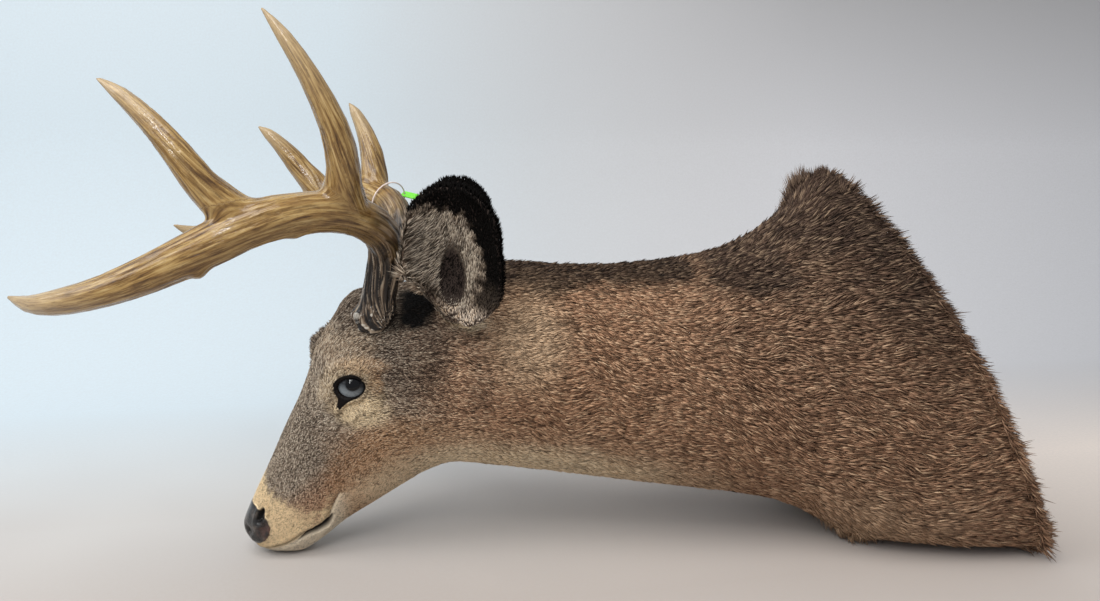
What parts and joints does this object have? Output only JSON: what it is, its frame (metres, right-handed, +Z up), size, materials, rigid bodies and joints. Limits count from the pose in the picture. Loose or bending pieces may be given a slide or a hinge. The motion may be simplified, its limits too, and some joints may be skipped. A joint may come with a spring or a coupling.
{
  "type": "white-tailed deer shoulder mount",
  "caption": "Taxidermy shoulder mount of an antlered deer: head, neck and cape on a plywood wall board, lying on its chin and brisket.",
  "frame": {"origin": "on the surface that the mount lies on, below the middle of its whole box", "axes": "+Z up as the mount lies; -X from the wall board towards the nose; +Y towards the deer's right side"},
  "size_m": [0.989, 0.3892, 0.5334],
  "materials": {
    "coat": "short grizzled brown hair lying flat, matt with a faint sheen",
    "ear": "short dark brown hair outside, long pale grey hair in the cup",
    "nose": "pebbled black nose skin, slightly moist satin",
    "eye": "polished dark glass eye",
    "antler": "lacquered golden brown antler with lengthwise grain and a pearled dark base",
    "tag": "bright green plastic, unprinted",
    "wire": "pale coated wire",
    "plywood": "bare sanded plywood"
  },
  "bodies": {
    "root": {"shoulders": "coat", "neck_lower": "coat", "neck_upper": "coat", "head": "coat", "nose": "nose", "ear_left": "ear", "ear_right": "ear", "eye_left": "eye", "eye_right": "eye", "antler_left_base": "antler", "antler_left_middle": "antler", "antler_left_point": "antler", "antler_left_rear_tine": "antler", "antler_left_front_tine": "antler", "antler_right_base": "antler", "antler_right_middle": "antler", "antler_right_point": "antler", "antler_right_rear_tine": "antler", "antler_right_front_tine": "antler", "tag": "tag", "tag_wire": "wire", "wall_board": "plywood"}
  },
  "joints": []
}
